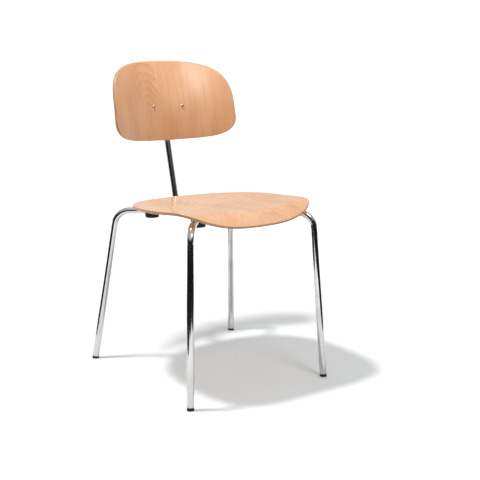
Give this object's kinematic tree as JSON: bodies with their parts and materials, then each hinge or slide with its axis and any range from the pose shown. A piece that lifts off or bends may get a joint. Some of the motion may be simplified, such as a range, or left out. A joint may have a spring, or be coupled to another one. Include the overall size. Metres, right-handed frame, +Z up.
{
  "type": "stacking chair",
  "caption": "Armless stacking chair: moulded plywood seat and separate curved plywood backrest on a bent steel tube frame with splayed legs.",
  "frame": {"origin": "on the floor, at the middle of the chair's overall box in plan", "axes": "+Z up, -Y is the front of the chair where the sitter's knees are, +X is the sitter's left"},
  "size_m": [0.482, 0.5081, 0.8279],
  "materials": {
    "plywood": "beech veneer, satin clear lacquer",
    "chrome": "bright chrome plate on steel tube",
    "weld": "plated weld bead",
    "black_plastic": "matt moulded black",
    "zinc_steel": "zinc plated",
    "bright_steel": "polished",
    "brass": "plain brass"
  },
  "bodies": {
    "root": {"seat_shell": "plywood", "back_shell": "plywood", "left_side_tube": "chrome", "right_side_tube": "chrome", "spine_tube": "chrome", "spine_front_plug": "black_plastic", "spine_top_plug": "black_plastic", "back_bracket": "chrome", "frame_welds": "weld", "bracket_welds": "weld", "pad_front_left": "black_plastic", "pad_front_right": "black_plastic", "pad_rear_left": "black_plastic", "pad_rear_right": "black_plastic", "glide_front_left": "black_plastic", "glide_front_right": "black_plastic", "glide_rear_left": "black_plastic", "glide_rear_right": "black_plastic", "seat_screws": "zinc_steel", "seat_washers": "zinc_steel", "seat_inserts": "brass", "back_screws": "bright_steel", "back_spacers": "black_plastic", "back_washers": "zinc_steel", "back_nuts": "zinc_steel"}
  },
  "joints": []
}
